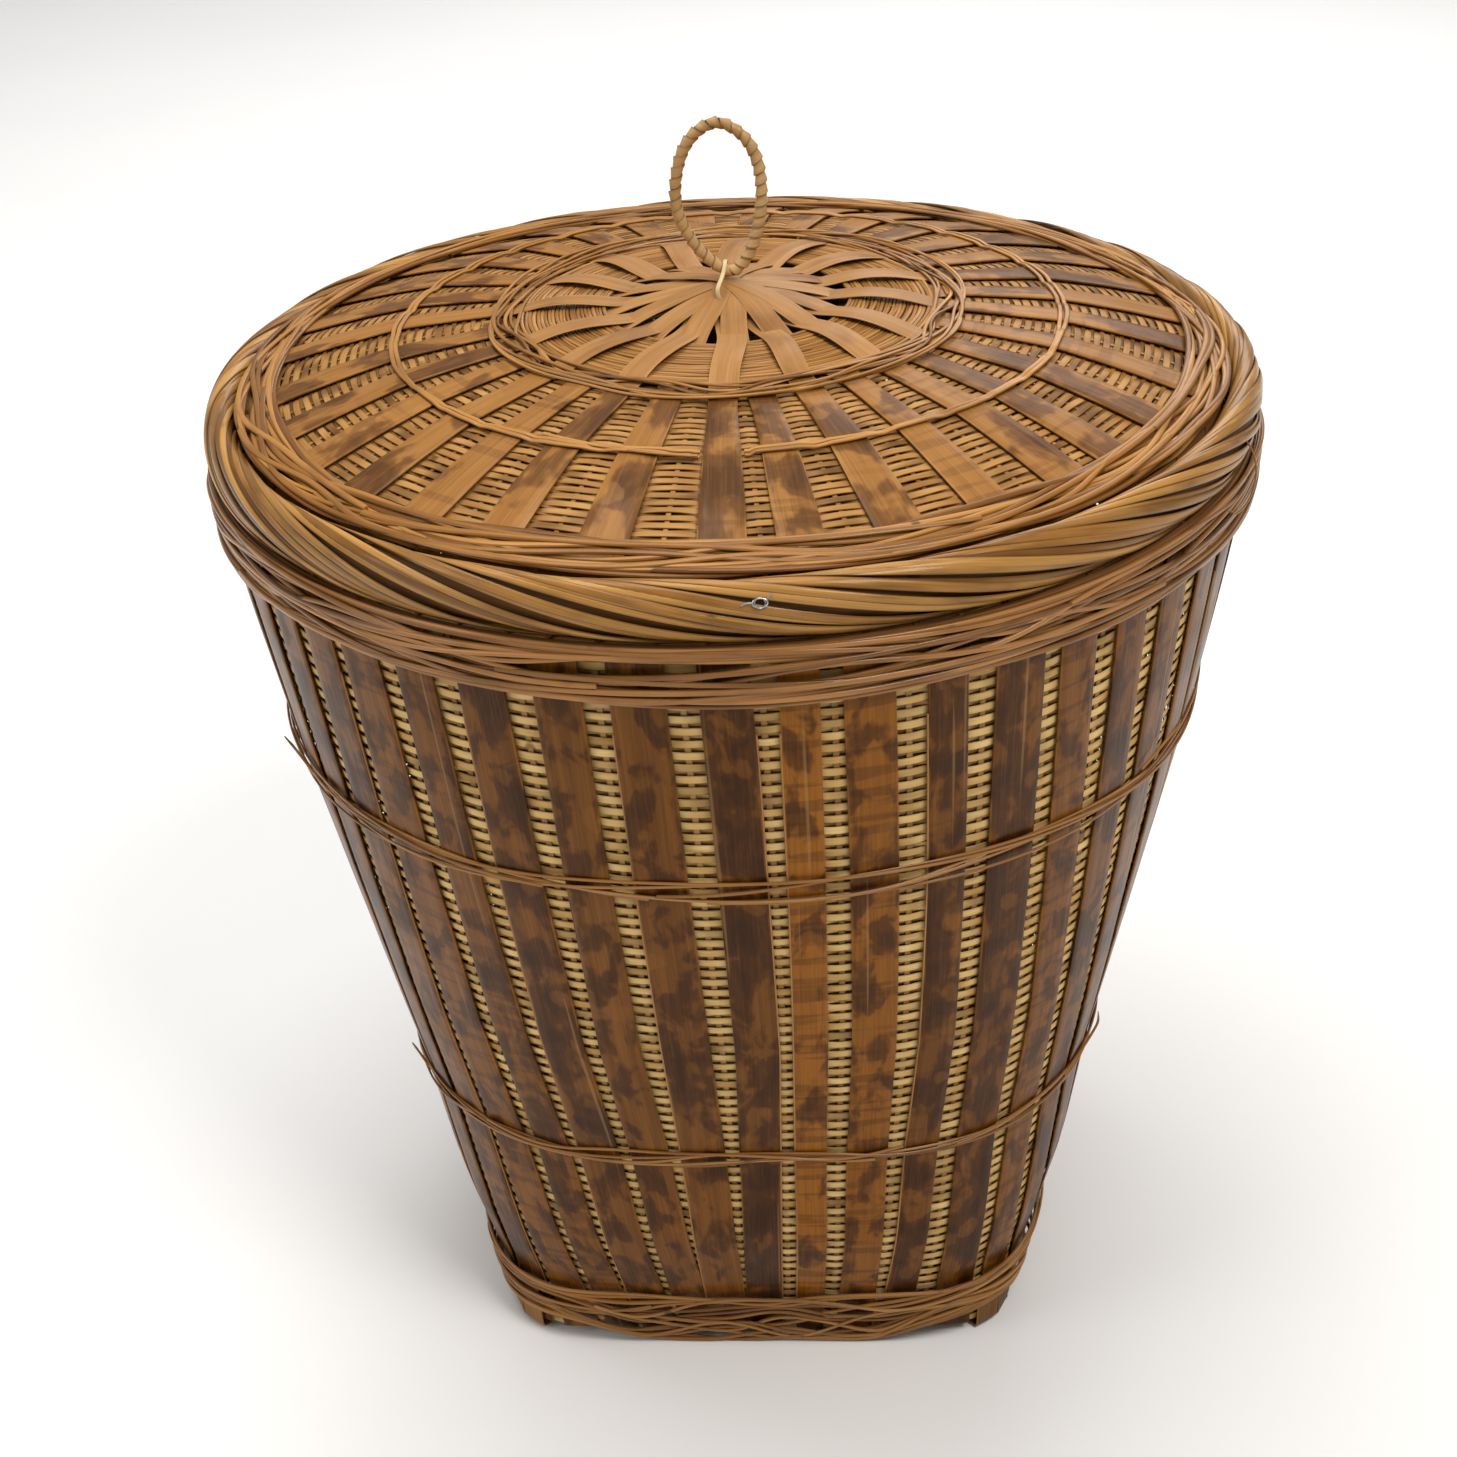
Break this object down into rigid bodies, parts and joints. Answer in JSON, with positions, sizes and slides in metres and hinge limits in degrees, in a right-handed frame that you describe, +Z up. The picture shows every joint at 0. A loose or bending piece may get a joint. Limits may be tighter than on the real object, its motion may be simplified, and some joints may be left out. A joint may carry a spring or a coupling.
{
  "type": "lidded laundry hamper",
  "caption": "Tall woven bamboo laundry hamper with a square base, a flared round mouth, and a lift-off domed lid with a finger loop.",
  "frame": {"origin": "centre of the footprint at the height of the surface the hamper stands on", "axes": "+Z up through the handle, the base's flats face -Y (front), +X (right), +Y (back) and -X (left)"},
  "size_m": [0.5032, 0.5032, 0.6113],
  "materials": {
    "bamboo_slat": "satin varnish",
    "bamboo_weft": "satin varnish",
    "bamboo_tan": "satin varnish",
    "cane_band": "satin varnish",
    "cane_border": "satin varnish",
    "cane_loop": "satin varnish",
    "tie_strip": "matt"
  },
  "bodies": {
    "basket": {"body_weave": "bamboo_weft", "front_slats": "bamboo_slat", "right_slats": "bamboo_slat", "back_slats": "bamboo_slat", "left_slats": "bamboo_slat", "weave_stakes": "bamboo_tan", "base_band": "cane_band", "lower_hoop": "cane_band", "upper_hoop": "cane_band", "rim_band": "cane_band", "rim_inner_hoop": "cane_band", "rim_cap": "cane_band", "front_left_foot": "bamboo_tan", "front_right_foot": "bamboo_tan", "back_right_foot": "bamboo_tan", "back_left_foot": "bamboo_tan", "base_strips_lengthwise": "bamboo_tan", "base_strips_crosswise": "bamboo_tan", "base_mat": "bamboo_weft"},
    "lid": {"lid_weave": "bamboo_weft", "lid_ribs_over_coil": "bamboo_slat", "lid_ribs_under_coil": "bamboo_slat", "lid_coil": "bamboo_tan", "lid_centre_crossing": "bamboo_tan", "lid_inner_band": "cane_band", "lid_mid_hoop": "cane_band", "lid_outer_band": "cane_band", "lid_border": "cane_border", "lid_collar": "cane_band", "tie_toggle": "cane_loop", "handle_tie": "tie_strip"},
    "handle": {"handle_core": "cane_loop", "handle_wrap": "cane_loop"}
  },
  "joints": [
    {"name": "lid_lift", "type": "slide", "parent": "basket", "child": "lid", "axis": [0, 0, 1], "range_m": [0, 0.25]},
    {"name": "handle_tilt", "type": "hinge", "parent": "lid", "child": "handle", "pos_m": [0, 0, 0.5383], "axis": [1, 0, 0], "range_deg": [-85, 85]}
  ]
}
